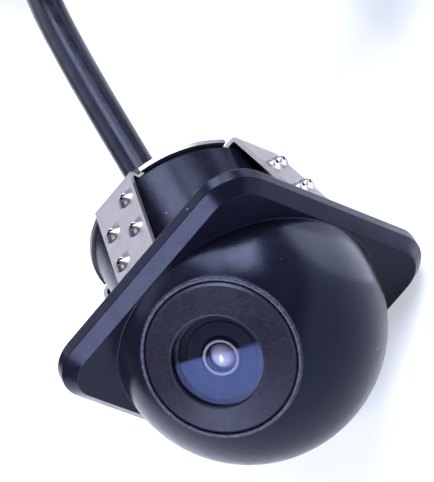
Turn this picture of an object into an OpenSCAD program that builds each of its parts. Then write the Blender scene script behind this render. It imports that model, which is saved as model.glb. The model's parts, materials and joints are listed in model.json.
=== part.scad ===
// Flush-mount backup camera: a domed head on a square flange, held in a panel hole by a
// four-legged spring clip, with its lead wound into a coil behind it.
// The barrel's axis is Y and the flange's back face is Y = 0. The lens looks forward and up.

/* [Housing] */
// Radius of the domed front
dome_r = 12.5; // [12.2:0.1:12.8]
// How far the dome's centre is in front of the flange's back face
dome_forward = 2.55; // [2.35:0.1:2.65]
// Half the width of the square flange
flange_half = 13.6; // [13.3:0.1:15]
// Radius of the flange's corners
flange_corner = 4.2; // [3.2:0.1:4.8]
// Height of the flange's straight edge
flange_edge = 1.2; // [1.2:0.05:1.8]
// Height of the bevel in front of that edge
bevel_height = 1.15; // [0.9:0.05:1.3]
// How far the bevel comes in
bevel_width = 1.05; // [0.8:0.05:1.3]
// Outer radius of the barrel that goes through the panel
barrel_r = 9.3; // [9.2:0.05:9.4]
// Length of the barrel behind the flange
barrel_length = 11.6; // [11.6:0.1:12.4]
// Inner radius of the barrel
bore_r = 6.5; // [6.45:0.05:6.6]

/* [Lens] */
// Tilt of the lens above the barrel's axis, in degrees
lens_tilt = 46; // [45:1:50]
// Outer radius of the lens retainer
retainer_r = 6.8; // [6.7:0.05:6.85]
// Radius of the opening in front of the window
opening_r = 4.2; // [3.8:0.1:4.4]
// Distance from the dome's centre to the top of the window
window_top = 11.35; // [11.3:0.05:11.4]
// Thickness of the window
window_thick = 0.7; // [0.5:0.05:0.7]

/* [Spring clip] */
// Thickness of the spring steel
sheet = 0.45; // [0.4:0.05:0.5]
// Width of a leg
leg_width = 5.1; // [4.6:0.1:5.6]
// Where a leg's outer face meets the plate's, from the barrel's axis
bend_out = 9.85; // [9.85:0.05:10.1]
// How far out a leg's foot stands from the barrel's axis, at the flange
foot_out = 12.8; // [12.4:0.1:13]
// Gap between a leg's foot and the flange
foot_gap = 0.8; // [0.7:0.1:1.4]
// Height of the pierced bumps on the legs
bump_height = 0.6; // [0.4:0.05:0.8]

/* [Lead] */
// Diameter of the lead
lead_d = 3.2; // [3.2:0.1:3.2]
// Radius at the middle of the coil's turns
coil_r = 18; // [18:1:18]

/* [Hidden] */
$fn = 64;
skin = 0.01;                                  // how far a cut runs past the face that it opens

// Lens stack: distances from the dome's centre along the lens axis
window_bottom = window_top - window_thick;
rim_r = 7.2;
rim_top = 10.35;
rim_round = 0.2;
retainer_seat = 8.65;
retainer_bore = 4.83;
barrel_flange_top = 10.2;
barrel_flange_bottom = 9;
element_r = 2.55;
board_top = -1.8;
board_thick = 0.8;
sensor_board_r = 5.8;
holder_screw_x = 4.6;

// Rear end: distances behind the flange's back face
power_board_y = 5.6;
wire_plug_end = 8.5;
cap_y = 9.2;
cap_thick = 2.1;
plate_y = barrel_length;
plate_back = plate_y + sheet;
plate_r = 9.6;
screw_circle = 7.6;
cable_x = -1;
cable_z = 1.2;
boot_end = 18.4;

// Bend of the clip's legs
bend_inner = 0.3;
bend_r = bend_inner + sheet;
leg_slope = atan((foot_out - bend_out) / plate_back);
bend_turn = 90 - leg_slope;
bend_z = bend_out - bend_r * tan(bend_turn / 2);
bend_y = plate_back - bend_r;
leg_length = (bend_y + bend_r * sin(leg_slope) - foot_gap) / cos(leg_slope);
bump_pitch = 2.27;
bump_side = 1.3;
first_bump = 2.45;

// Lead, coil and plug, lying on the surface that the flange's edge stands on
floor_z = -flange_half;
tie_thick = 0.5;
coil_x = 8;
coil_y = 81;
coil_bottom = floor_z + tie_thick + 0.1;
coil_columns = 3;
coil_rows = 2;
coil_half = coil_columns * lead_d / 2 + 0.1;
coil_height = coil_rows * lead_d;
cable_sides = 8;
cable_route = [[-1, 10, 1.2], [-1, 14, 1.2], [-1, 18.4, 1.2], [-1, 24, 1.35], [-1, 30, 1.45], [-1, 36, 1.4],
    [-1, 42, 1.1], [-1.2, 47.5, 0], [-2.1, 53, -2.4], [-4.2, 58.5, -5.1], [-6.9, 63.8, -7.2],
    [-9.1, 68, -8.05], [-10.9, 71.4, -8.2]];
tail_route = [[29.2, 81, -11.4], [29.25, 78.4, -11.3], [29.35, 75.8, -10.8], [29.4, 73.2, -10],
    [29.4, 70.6, -9.05], [29.4, 68, -8.1], [29.4, 65.4, -7.4], [29.4, 63, -7.1]];
plug_start = [29.4, 63, -7.1];
nut_r = 6.45;
nut_back = 26.3;
nut_front = 39;
thread_from = 34.2;
thread_r = 5.3;
neck_r = 4.4;
insert_r = 4;
contact_circle = 2.1;

// ---- Placing ----

// Local Z runs from the dome's centre out along the lens axis
module on_lens_axis() {
    translate([0, -dome_forward, 0]) rotate([90 - lens_tilt, 0, 0]) children();
}

// Local Z runs back along the barrel
module on_barrel_axis() {
    rotate([-90, 0, 0]) children();
}

// Local Z runs forward from the flange's back face, and local Y runs up
module facing_front() {
    rotate([90, 0, 0]) children();
}

// A profile in Y and Z, given a width along X
module across(width) {
    rotate([90, 0, 90]) linear_extrude(width, center = true) children();
}

// Local Z runs from the cable's end of the plug to its mouth
module on_plug_axis() {
    translate(plug_start) rotate([90, 0, 0]) children();
}

module ring(outer, inner, from, to) {
    translate([0, 0, from]) difference() {
        cylinder(r = outer, h = to - from);
        translate([0, 0, -skin]) cylinder(r = inner, h = to - from + 2 * skin);
    }
}

module disc(radius, from, to) {
    translate([0, 0, from]) cylinder(r = radius, h = to - from);
}

// ---- Head ----

module rounded_square(half, corner) {
    square([2 * half, 2 * (half - corner)], center = true);
    square([2 * (half - corner), 2 * half], center = true);
    for (x = [-1, 1], y = [-1, 1]) translate([x, y] * (half - corner)) circle(corner);
}

module flange() {
    straight = flange_half - flange_corner;
    linear_extrude(flange_edge) rounded_square(flange_half, flange_corner);
    translate([0, 0, flange_edge]) {
        for (turn = [0, 90]) rotate([0, 0, turn]) across(2 * straight)
            polygon([[-flange_half, 0], [flange_half, 0], [flange_half - bevel_width, bevel_height],
                [bevel_width - flange_half, bevel_height]]);
        for (x = [-1, 1], y = [-1, 1]) translate([x, y, 0] * straight)
            cylinder(r1 = flange_corner, r2 = flange_corner - bevel_width, h = bevel_height);
    }
}

module barrel_outline() {
    edge = 0.4;
    rotate_extrude() {
        translate([0, -1]) square([barrel_r, barrel_length + 1 - edge]);
        translate([0, barrel_length - 2 * edge]) square([barrel_r - edge, 2 * edge]);
        translate([barrel_r - edge, barrel_length - edge]) circle(edge);
    }
}

module clip_screw_places() {
    for (turn = [45, 225]) rotate([0, turn, 0]) translate([0, 0, screw_circle]) children();
}

module housing() {
    color("#22242c") difference() {
        union() {
            difference() {
                on_lens_axis() sphere(dome_r);
                translate([-20, -1, -20]) cube(40);
            }
            facing_front() flange();
            on_barrel_axis() barrel_outline();
            on_lens_axis() rotate_extrude() {
                translate([rim_r - rim_round, 8]) square([2 * rim_round, rim_top - 8]);
                translate([rim_r, rim_top]) circle(rim_round);
            }
        }
        on_barrel_axis() disc(bore_r, -7, barrel_length + 1);
        on_lens_axis() disc(4.8, -3, 14);
        on_lens_axis() disc(rim_r - rim_round, 8.6, 14);
        clip_screw_places() on_barrel_axis() disc(0.85, 5.5, barrel_length + 1);
    }
}

module lens_retainer() {
    color("#2b2a33") on_lens_axis() rotate_extrude()
        polygon([[retainer_bore, retainer_seat], [7, retainer_seat], [7, 9.8], [retainer_r, 9.9],
            [retainer_r, 10.5], [retainer_r - 0.2, 10.75], [opening_r + 0.12, 11.93],
            [opening_r, 11.85], [opening_r, window_top], [retainer_bore, window_top]]);
}

module cover_window() {
    color("#35406a", 0.5) on_lens_axis() disc(retainer_bore - 0.03, window_bottom, window_top);
}

module window_gasket() {
    color("#101014") on_lens_axis() ring(4.7, 3.9, barrel_flange_top, window_bottom);
}

module lens_barrel() {
    nose_top = 10.5;
    color("#15161c") on_lens_axis() difference() {
        union() {
            disc(3.5, 1.2, barrel_flange_bottom);
            disc(4.6, barrel_flange_bottom, barrel_flange_top);
            translate([0, 0, barrel_flange_top])
                cylinder(r1 = 1.9, r2 = 1.5, h = nose_top - barrel_flange_top);
        }
        disc(element_r + 0.03, 1, 9.4);
        disc(1.2, 9, 11);
    }
}

// ---- Optics ----

module front_element() {
    ball = 1.15;
    color("#a8b4d8", 0.6) on_lens_axis() {
        disc(element_r, 8.4, 9.38);
        translate([0, 0, 9.3]) sphere(ball);
    }
}

module element_spacer() {
    color("#1a1a1e") on_lens_axis() ring(element_r, 2.1, 7.2, 8.4);
}

module middle_element() {
    bow = 7;
    color("#b4c4b8", 0.6) on_lens_axis() intersection() {
        disc(element_r, 5.4, 7.2);
        translate([0, 0, 7.2 - bow]) sphere(bow);
        translate([0, 0, 5.4 + bow]) sphere(bow);
    }
}

module aperture_stop() {
    color("#101012") on_lens_axis() ring(element_r, 0.6, 5.1, 5.4);
}

module rear_element() {
    bow = 6;
    color("#b4bcc8", 0.6) on_lens_axis() intersection() {
        disc(element_r, 2.6, 5.1);
        translate([0, 0, 5.1 - bow]) sphere(bow);
    }
}

module lens_holder() {
    color("#1c1d22") on_lens_axis() difference() {
        union() {
            disc(5.3, board_top, -0.5);
            disc(4.4, -0.5, 4.2);
        }
        disc(3, board_top - 1, 1);
        disc(3.52, 0.4, 5);
        for (x = [-1, 1]) translate([x * holder_screw_x, 0, 0]) disc(0.45, board_top - 1, -0.9);
    }
}

module infrared_filter() {
    color("#7fd0d8", 0.5) on_lens_axis() disc(3.45, 0.4, 0.7);
}

module image_sensor() {
    color("#3a3a40") on_lens_axis() translate([-1.9, -1.9, board_top]) cube([3.8, 3.8, 0.9]);
}

// ---- Boards ----

module sensor_board() {
    color("#1d5a38") on_lens_axis() difference() {
        disc(sensor_board_r, board_top - board_thick, board_top);
        for (x = [-1, 1]) translate([x * holder_screw_x, 0, 0]) disc(0.5, -5, 0);
    }
}

// A box on the back of the sensor board
module behind_board(x, y, size) {
    on_lens_axis() translate([x - size[0] / 2, y - size[1] / 2, board_top - board_thick - size[2]])
        cube(size);
}

module video_chip() {
    color("#18181a") behind_board(0, -1.8, [3.2, 3.2, 0.8]);
}

module clock_crystal() {
    color("#b8b8bc") behind_board(2.9, -2.6, [1.6, 2.4, 0.7]);
}

module sensor_board_capacitors() {
    color("#a07848") for (x = [-3.2, -2], y = [-3, -1.2]) behind_board(x - 0.4, y, [0.8, 1.2, 0.6]);
}

module holder_screws() {
    color("#9a9aa0") on_lens_axis() for (x = [-1, 1]) translate([x * holder_screw_x, 0, 0]) {
        under = board_top - board_thick;
        disc(0.44, under, -1);
        difference() {
            disc(0.9, under - 0.5, under);
            for (turn = [0, 90]) rotate([0, 0, turn]) translate([-0.5, -0.1, under - 0.6])
                cube([1, 0.2, 0.35]);
        }
    }
}

// A point behind the sensor board, in Y and Z: its place along the board and its distance from it
function behind(along, off) = let (h = board_top - board_thick - off)
    [along * sin(lens_tilt) - dome_forward - h * cos(lens_tilt),
        along * cos(lens_tilt) + h * sin(lens_tilt)];

// A flat flexible cable: its ends lie on the two boards
module board_ribbon() {
    film = 0.2;
    front = power_board_y - film;
    color("#c07828") across(4) polygon([behind(2.6, 0), behind(4.2, 0), [3.5, 0.95], [4.75, -0.3],
        [power_board_y, -1.35], [power_board_y, -2.6], [front, -2.6], [front, -1.4], [4.6, -0.42],
        [3.42, 0.74], behind(4.12, film), behind(2.6, film)]);
}

module power_board() {
    color("#1d5a38") on_barrel_axis() disc(6.3, power_board_y, power_board_y + 0.8);
}

module filter_capacitor() {
    color("#2c3550") translate([3.6, 0, 2.2]) on_barrel_axis()
        disc(1.6, power_board_y - 1.1, power_board_y);
}

module voltage_regulator() {
    color("#18181a") translate([-4.4, power_board_y - 1, 1.2]) cube([2, 1, 2.8]);
}

module power_coil() {
    color("#5a4a3c") translate([3.2, 0, -3.2]) on_barrel_axis()
        ring(1.4, 0.5, power_board_y - 1.2, power_board_y);
}

module board_socket() {
    color("#d8d4c4") translate([-2.8, power_board_y + 0.8, -1.1]) difference() {
        cube([4.8, 2, 3.4]);
        translate([0.4, 0.5, 0.4]) cube([4, 2, 2.6]);
    }
}

module wire_plug() {
    color("#e6e2d4") translate([-2.38, power_board_y + 1.32, -0.68])
        cube([3.96, wire_plug_end - power_board_y - 1.32, 2.56]);
}

module lead_wires() {
    colors = ["#b02020", "#20201e", "#d8c020", "#e8e8e8"];
    for (k = [0:3]) color(colors[k]) translate([cable_x - 0.75 + 0.5 * k, 0, cable_z])
        on_barrel_axis() disc(0.22, wire_plug_end, cable_route[0][1]);
}

// ---- Rear end ----

module rear_cap() {
    color("#26272e") on_barrel_axis() difference() {
        disc(bore_r - 0.04, cap_y, cap_y + cap_thick);
        ring(bore_r + 1, 5.7, cap_y + 0.6, cap_y + 1.5);
        translate([cable_x, -cable_z, 0]) disc(2.35, cap_y - 1, cap_y + cap_thick + 1);
    }
}

module rear_seal() {
    color("#3a3a3e") on_barrel_axis() translate([0, 0, cap_y + 1.05]) rotate_extrude()
        translate([6.09, 0]) circle(0.38);
}

module cable_boot() {
    hole = lead_d / 2;
    color("#1a1b20") translate([cable_x, 0, cable_z]) on_barrel_axis() rotate_extrude()
        polygon([[hole, cap_y - 0.5], [3.3, cap_y - 0.5], [3.3, cap_y], [2.3, cap_y], [2.3, plate_back],
            [3, plate_back], [3, plate_back + 1.2], [2.1, boot_end], [hole, boot_end]]);
}

module clip_plate() {
    tab_end = bend_z - 0.03;
    color("#b9b7c0") on_barrel_axis() difference() {
        union() {
            disc(plate_r, plate_y, plate_back);
            for (turn = [0, 90]) rotate([0, 0, turn])
                translate([-leg_width / 2, -tab_end, plate_y]) cube([leg_width, 2 * tab_end, sheet]);
        }
        for (turn = [0:90:270]) rotate([0, 0, turn]) difference() {
            translate([-leg_width / 2 - 0.6, tab_end - 0.7, plate_y - 1]) cube([leg_width + 1.2, 3, 2]);
            translate([-leg_width / 2, tab_end - 2, plate_y - 2]) cube([leg_width, 2, 4]);
        }
        translate([cable_x, -cable_z, 0]) disc(2.5, plate_y - 1, plate_back + 1);
        for (turn = [45, 225]) rotate([0, 0, turn - 90]) translate([screw_circle, 0, 0])
            disc(1, plate_y - 1, plate_back + 1);
    }
}

module clip_screws() {
    head = 1;
    color("#c8c8cc") clip_screw_places() on_barrel_axis() difference() {
        union() {
            disc(0.84, 6, plate_back);
            disc(1.5, plate_back, plate_back + head);
        }
        for (turn = [0, 90]) rotate([0, 0, turn])
            translate([-0.9, -0.2, plate_back + head - 0.5]) cube([1.8, 0.4, 1]);
    }
}

// Local Z runs out of a leg's outer face, and local Y runs back up the leg from its foot to its bend
module on_leg() {
    translate([0, bend_y, bend_z]) rotate([-leg_slope, 0, 0]) children();
}

// Points of an arc round the origin, from one angle to another
function arc(radius, from, to, steps = 10) =
    [for (k = [0:steps]) let (a = from + (to - from) * k / steps) radius * [cos(a), sin(a)]];

// A leg's side view: the bend out of the plate, then the straight strip down to the foot
module leg_outline() {
    outward = [sin(leg_slope), cos(leg_slope)];
    down = [-cos(leg_slope), sin(leg_slope)] * leg_length;
    translate([bend_y, bend_z]) polygon(concat(arc(bend_r, 0, bend_turn),
        [outward * bend_r + down, outward * bend_inner + down], arc(bend_inner, bend_turn, 0)));
}

// One leg as it stands above the barrel, with its pierced bumps
module clip_leg() {
    color("#c4c2cc") difference() {
        union() {
            across(leg_width) leg_outline();
            on_leg() bumps() translate([0, 0, bend_r - skin])
                cylinder(r1 = 0.95, r2 = 0.5, h = bump_height + skin);
        }
        on_leg() bumps() translate([0, 0, bend_inner - skin])
            cylinder(r1 = 0.75, r2 = 0.28, h = sheet + bump_height + 2 * skin);
    }
}

// The bumps stand in two staggered rows
module bumps() {
    for (k = [0:3]) translate([bump_side * (1 - 2 * (k % 2)), -first_bump - k * bump_pitch, 0]) children();
}

module clip_leg_top() {
    clip_leg();
}

module clip_leg_right() {
    rotate([0, 90, 0]) clip_leg();
}

module clip_leg_bottom() {
    rotate([0, 180, 0]) clip_leg();
}

module clip_leg_left() {
    rotate([0, 270, 0]) clip_leg();
}

// ---- Lead ----

function unit(v) = v / norm(v);

// The direction of a route at its point k
function heading(route, k) = unit(route[min(k + 1, len(route) - 1)] - route[max(k - 1, 0)]);

// The tube's ring of corners at point k
function tube_ring(route, k, r) =
    let (ahead = heading(route, k), side = unit(cross(ahead, [0, 0, 1])), above = cross(side, ahead))
    [for (j = [0:cable_sides - 1]) let (a = 360 * j / cable_sides)
        route[k] + r * (cos(a) * side + sin(a) * above)];

module tube(route, r) {
    last = len(route) - 1;
    points = [for (k = [0:last]) each tube_ring(route, k, r)];
    sides = [for (k = [0:last - 1], j = [0:cable_sides - 1])
        let (a = k * cable_sides + j, b = k * cable_sides + (j + 1) % cable_sides)
        each [[a, b, b + cable_sides], [a, b + cable_sides, a + cable_sides]]];
    start = [for (j = [0:cable_sides - 1]) cable_sides - 1 - j];
    end = [for (j = [0:cable_sides - 1]) last * cable_sides + j];
    polyhedron(points, concat([start, end], sides));
}

module cable() {
    color("#1c1d26") tube(cable_route, lead_d / 2);
}

module cable_tail() {
    color("#1c1d26") tube(tail_route, lead_d / 2);
}

module cable_coil() {
    round = lead_d / 2;
    color("#1c1d26") translate([coil_x, coil_y, coil_bottom]) rotate_extrude() {
        translate([coil_r - coil_half + round, 0]) square([2 * (coil_half - round), coil_height]);
        translate([coil_r - coil_half, round]) square([2 * coil_half, coil_height - 2 * round]);
        for (x = [-1, 1], z = [round, coil_height - round])
            translate([coil_r + x * (coil_half - round), z]) circle(round);
    }
}

// A strap round the coil's turns, at its far side
module coil_tie() {
    width = 5;
    gap = 0.1;
    low = coil_y + coil_r - coil_half - 0.35;
    high = coil_y + coil_r + coil_half + gap;
    tall = coil_height + 2 * gap;
    color("#2a2a2e") translate([coil_x - width / 2, low, floor_z + tie_thick]) difference() {
        translate([0, -tie_thick, -tie_thick])
            cube([width, high - low + 2 * tie_thick, tall + 2 * tie_thick]);
        translate([-1, 0, 0]) cube([width + 2, high - low, tall]);
    }
}

// ---- Plug ----

module contact_places() {
    for (turn = [45:90:315]) rotate([0, 0, turn]) translate([contact_circle, 0, 0]) children();
}

module plug_body() {
    color("#1b1c22") on_plug_axis() rotate_extrude()
        polygon([[0, 0], [2.1, 0], [3.9, 12], [5.3, 12.6], [5.3, 25.4], [5, 26], [neck_r, 26],
            [neck_r, 29], [4.9, 29], [4.9, 30.2], [4.3, 30.8], [insert_r, 30.8], [insert_r, 24], [0, 24]]);
}

module plug_insert() {
    color("#30323a") on_plug_axis() difference() {
        disc(insert_r, 24, 34);
        contact_places() disc(0.76, 26, 35);
        translate([-0.6, insert_r - 0.7, 31]) cube([1.2, 2, 4]);
    }
}

module plug_contacts() {
    color("#d0a850") on_plug_axis() contact_places() difference() {
        disc(0.75, 26, 33.8);
        disc(0.45, 27, 35);
    }
}

module plug_seal() {
    color("#a03028") on_plug_axis() translate([0, 0, 32]) rotate_extrude()
        translate([4.5, 0]) circle(0.48);
}

module plug_nut() {
    grooves = 30;
    color("#8c8c94") on_plug_axis() difference() {
        rotate_extrude() polygon([[neck_r + 0.08, nut_back], [nut_r - 0.4, nut_back],
            [nut_r, nut_back + 0.4], [nut_r, nut_front - 0.4], [nut_r - 0.4, nut_front],
            [thread_r, nut_front], [thread_r, thread_from], [5.05, thread_from], [5.05, 28.9],
            [neck_r + 0.08, 28.9]]);
        for (k = [0:grooves - 1]) rotate([0, 0, 360 * k / grooves]) translate([nut_r + 0.1, 0, 0])
            disc(0.3, nut_back + 1.6, nut_front - 1.6);
    }
}

housing();
lens_retainer();
cover_window();
window_gasket();
lens_barrel();
front_element();
element_spacer();
middle_element();
aperture_stop();
rear_element();
lens_holder();
infrared_filter();
image_sensor();
sensor_board();
video_chip();
clock_crystal();
sensor_board_capacitors();
holder_screws();
board_ribbon();
power_board();
filter_capacitor();
voltage_regulator();
power_coil();
board_socket();
wire_plug();
lead_wires();
rear_cap();
rear_seal();
cable_boot();
clip_plate();
clip_screws();
clip_leg_top();
clip_leg_right();
clip_leg_bottom();
clip_leg_left();
cable();
cable_coil();
coil_tie();
cable_tail();
plug_body();
plug_insert();
plug_contacts();
plug_seal();
plug_nut();
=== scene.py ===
import json
import math

import bmesh
import bpy
from mathutils import Matrix, Vector


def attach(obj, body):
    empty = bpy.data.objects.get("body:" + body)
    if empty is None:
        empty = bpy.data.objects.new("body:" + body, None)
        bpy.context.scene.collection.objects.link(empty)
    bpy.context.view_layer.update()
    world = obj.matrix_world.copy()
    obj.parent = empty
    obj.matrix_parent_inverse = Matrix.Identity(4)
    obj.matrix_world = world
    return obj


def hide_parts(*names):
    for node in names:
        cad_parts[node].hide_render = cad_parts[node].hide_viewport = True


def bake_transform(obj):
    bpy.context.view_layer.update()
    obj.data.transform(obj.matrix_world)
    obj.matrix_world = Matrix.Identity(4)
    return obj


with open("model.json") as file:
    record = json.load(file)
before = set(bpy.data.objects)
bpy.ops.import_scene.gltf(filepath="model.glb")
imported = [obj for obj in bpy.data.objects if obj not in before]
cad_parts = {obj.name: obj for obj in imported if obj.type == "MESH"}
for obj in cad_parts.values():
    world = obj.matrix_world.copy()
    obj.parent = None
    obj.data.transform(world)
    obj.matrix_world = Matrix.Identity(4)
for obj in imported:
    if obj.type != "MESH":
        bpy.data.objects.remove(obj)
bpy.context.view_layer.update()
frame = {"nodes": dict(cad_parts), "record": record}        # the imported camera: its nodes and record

MM = 0.001

# Driving dimensions in millimetres, as the design has them. The origin is on the barrel's axis, in
# the plane of the flange's back face.
DOME_R = 12.5
DOME_FORWARD = 2.55       # from the flange's back face forward to the dome's centre
FLANGE_HALF = 13.6
FLANGE_CORNER = 4.2
FLANGE_EDGE = 1.2         # height of the flange's upright edge
BEVEL_HEIGHT = 1.15
BEVEL_WIDTH = 1.05
BARREL_R = 9.3
BARREL_END = 11.6
BORE_R = 6.5
FLOOR_Z = -FLANGE_HALF

# The lens stack, with heights along its tilted axis from the dome's centre.
LENS_TILT = math.radians(46)
RIM_R = 7.2               # middle of the raised rim round the retainer
RIM_ROUND = 0.2           # half the rim's width
RIM_TOP = 10.35           # where the rim's round front begins
RIM_CLEAR = 0.02          # how far the skin's rim stays behind the design's
RETAINER_R = 6.8
OPENING_R = 4.2
WINDOW_R = 4.8
WINDOW_TOP = 11.35
WINDOW_THICK = 0.7
NOSE_TOP = 10.5           # front of the lens barrel's nose

# The spring clip, bent from one thickness of sheet.
SHEET = 0.45
LEG_WIDTH = 5.1
PLATE_BACK = BARREL_END + SHEET
BEND_OUT = 9.85
FOOT_OUT = 12.8
FOOT_GAP = 0.8
BEND_INNER = 0.3
SCREW_X = 7.6 * math.sqrt(0.5)

# The lead, where it leaves the barrel, and the plug's cable end.
CORD_D = 3.2
CABLE_X, CABLE_Z = -1, 1.2
PLUG_X, PLUG_Y, PLUG_Z = 29.4, 63, -7.1

# ---------------------------------------------------------------- camera

LOOK_AT = Vector((3.089, 4.57, 2.907)) * MM
VIEW_DISTANCE = 600 * MM
VIEW_AZIMUTH = math.radians(27.96)
VIEW_ELEVATION = math.radians(41.66)
VIEW_ROLL = math.radians(68.87)
FOCAL_LENGTH = 498.2
SENSOR_WIDTH = 36
NEAREST, FURTHEST = 0.01, 10


def toward(azimuth, elevation):
    """The direction from the object to a place at that azimuth and elevation."""
    level = math.cos(elevation)
    return Vector((math.sin(azimuth) * level, -math.cos(azimuth) * level, math.sin(elevation)))


def make_camera():
    data = bpy.data.cameras.new("camera")
    data.lens = FOCAL_LENGTH
    data.sensor_width = SENSOR_WIDTH
    data.clip_start, data.clip_end = NEAREST, FURTHEST
    camera = bpy.data.objects.new("camera", data)
    back = toward(VIEW_AZIMUTH, VIEW_ELEVATION)
    roll = Matrix.Rotation(-VIEW_ROLL, 4, "Z")
    turned = (-back).to_track_quat("-Z", "Y").to_matrix().to_4x4() @ roll
    camera.matrix_world = Matrix.Translation(LOOK_AT + back * VIEW_DISTANCE) @ turned
    bpy.context.scene.collection.objects.link(camera)
    bpy.context.scene.camera = camera
    return camera


camera = make_camera()

# ---------------------------------------------------------------- cord

# The lead's own route in millimetres: out of the boot, down to the surface and on to the coil.
CABLE_ROUTE = [(-1, 18.4, 1.2), (-1, 24, 1.35), (-1, 30, 1.45), (-1, 36, 1.4), (-1, 42, 1.1),
               (-1.2, 47.5, 0), (-2.1, 53, -2.4), (-4.2, 58.5, -5.1), (-6.9, 63.8, -7.2),
               (-9.1, 68, -8.05), (-10.9, 71.4, -8.2)]
# From the coil to the plug's cable end.
TAIL_ROUTE = [(29.2, 81, -11.4), (29.25, 78.4, -11.3), (29.35, 75.8, -10.8), (29.4, 73.2, -10),
              (29.4, 70.6, -9.05), (29.4, 68, -8.1), (29.4, 65.4, -7.4), (29.4, 63, -7.1)]
COIL_CENTRE = Vector((8, 81, 0))
COIL_START = 207          # azimuth where the lead joins the coil, in degrees
COIL_LOW, COIL_HIGH = -11.4, -8.2
# The coil's lays, in the order they are wound: swept angle at which each begins, its radius and height.
COIL_LAYS = [(0, 21.2, COIL_HIGH), (318, 18, COIL_HIGH), (678, 14.8, COIL_HIGH), (988, 14.8, COIL_LOW),
             (1352, 18, COIL_LOW), (1712, 21.2, COIL_LOW)]
LAY_CHANGE = 42           # how far the cord turns while it moves from one lay to the next, in degrees
COIL_SWEPT = COIL_START + 5 * 360     # so that the cord leaves the coil on its +X side


def smooth(t):
    t = min(1.0, max(0.0, t))
    return t * t * (3 - 2 * t)


def through(points, steps):
    """A smooth line through the points, with that many steps between neighbours."""
    p = [Vector(q) for q in points]
    p = [2 * p[0] - p[1]] + p + [2 * p[-1] - p[-2]]
    line = []
    for k in range(1, len(p) - 2):
        a, b, c, d = p[k - 1:k + 3]
        for j in range(steps):
            t = j / steps
            line.append(0.5 * (2 * b + (c - a) * t + (2 * a - 5 * b + 4 * c - d) * t ** 2
                               + (3 * b - a - 3 * c + d) * t ** 3))
    return line + [p[-2]]


def coil_points(per_turn=72):
    """The coil's turns, wound clockwise as seen from above."""
    line = []
    steps = round(COIL_SWEPT * per_turn / 360)
    for k in range(1, steps):
        swept = COIL_SWEPT * k / steps
        _, r, z = COIL_LAYS[0]
        for start, next_r, next_z in COIL_LAYS[1:]:
            share = smooth((swept - start) / LAY_CHANGE)
            r, z = r + (next_r - r) * share, z + (next_z - z) * share
        a = math.radians(COIL_START - swept)
        line.append(COIL_CENTRE + Vector((r * math.cos(a), r * math.sin(a), z)))
    return line


def length_of(line):
    return sum((b - a).length for a, b in zip(line, line[1:]))


def make_cord():
    """The lead as one curve: to the coil, round its turns and on to the plug."""
    line = through(CABLE_ROUTE, 6) + coil_points() + through(TAIL_ROUTE, 5)
    data = bpy.data.curves.new("lead", "CURVE")
    data.dimensions = "3D"
    data.bevel_depth = 1          # times each point's radius, so that the curve's own box stays true
    data.bevel_resolution = 8
    data.use_fill_caps = True
    spline = data.splines.new("POLY")
    spline.points.add(len(line) - 1)
    for point, place in zip(spline.points, line):
        point.co = (*(place * MM), 1)
        point.radius = CORD_D / 2 * MM
    spline.use_smooth = True
    cord = bpy.data.objects.new("lead", data)
    bpy.context.scene.collection.objects.link(cord)
    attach(cord, "root")
    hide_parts("cable", "cable_coil", "cable_tail")
    return cord, length_of(line)


lead, lead_length = make_cord()

# ---------------------------------------------------------------- mesh tools

LENS_FORWARD = Vector((0, -math.cos(LENS_TILT), math.sin(LENS_TILT)))
LENS_UP = Vector((0, math.sin(LENS_TILT), math.cos(LENS_TILT)))
DOME_CENTRE = Vector((0, -DOME_FORWARD, 0))
JUST_PAST = 1.12          # of an arc's reach along the straight beside it


def on_lens(x, y, h):
    """A place given across the lens axis and along it from the dome's centre."""
    return DOME_CENTRE + Vector((x, 0, 0)) + LENS_UP * y + LENS_FORWARD * h


def on_barrel(x, y, h):
    """A place given across the barrel's axis and along it behind the flange's back face."""
    return Vector((x, h, y))


def on_cable(x, y, h):
    """As on_barrel, about the line where the lead leaves the barrel."""
    return Vector((CABLE_X + x, h, CABLE_Z + y))


def on_plug(x, y, h):
    """A place given across the plug's axis and along it from its cable end to its mouth."""
    return Vector((PLUG_X + x, PLUG_Y - h, PLUG_Z + y))


def rounded(corners, closed=False, steps=4):
    """A line through the corners, each (x, y) or (x, y, radius), with an arc at those that have a radius.

    A point just off each end of an arc keeps the shading of the straight beside it flat.
    """
    line = []
    for k, corner in enumerate(corners):
        here = Vector(corner[:2])
        at_end = not closed and k in (0, len(corners) - 1)
        if len(corner) < 3 or at_end:
            line.append(here)
            continue
        before = (Vector(corners[k - 1][:2]) - here).normalized()
        after = (Vector(corners[(k + 1) % len(corners)][:2]) - here).normalized()
        half = before.angle(after) / 2
        centre = here + (before + after).normalized() * (corner[2] / math.sin(half))
        reach = corner[2] / math.tan(half)
        first, last = here + before * reach - centre, here + after * reach - centre
        turn = first.angle(last)
        line.append(here + before * (reach * JUST_PAST))
        for j in range(steps + 1):
            t = j / steps
            bow = first * math.sin((1 - t) * turn) + last * math.sin(t * turn)
            line.append(centre + bow / math.sin(turn))
        line.append(here + after * (reach * JUST_PAST))
    return line


def loft(rings, closed=False):
    """Points and four-sided faces of a skin through rings of as many points each.

    With closed, the last ring joins the first.
    """
    count = len(rings[0])
    faces = []
    for k in range(len(rings) if closed else len(rings) - 1):
        a, b = k * count, (k + 1) % len(rings) * count
        faces += [(a + j, a + (j + 1) % count, b + (j + 1) % count, b + j) for j in range(count)]
    return [p for ring in rings for p in ring], faces


def circle(r, steps):
    """Places round a circle, as pairs."""
    angles = [2 * math.pi * k / steps for k in range(steps)]
    return [(r * math.cos(a), r * math.sin(a)) for a in angles]


def turned(profile, place, steps=128, closed=True):
    """A turned solid: profile is (radius, height) pairs and place says where its axis is."""
    return loft([[place(x, y, h) for x, y in circle(r, steps)] for r, h in profile], closed)


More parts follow.
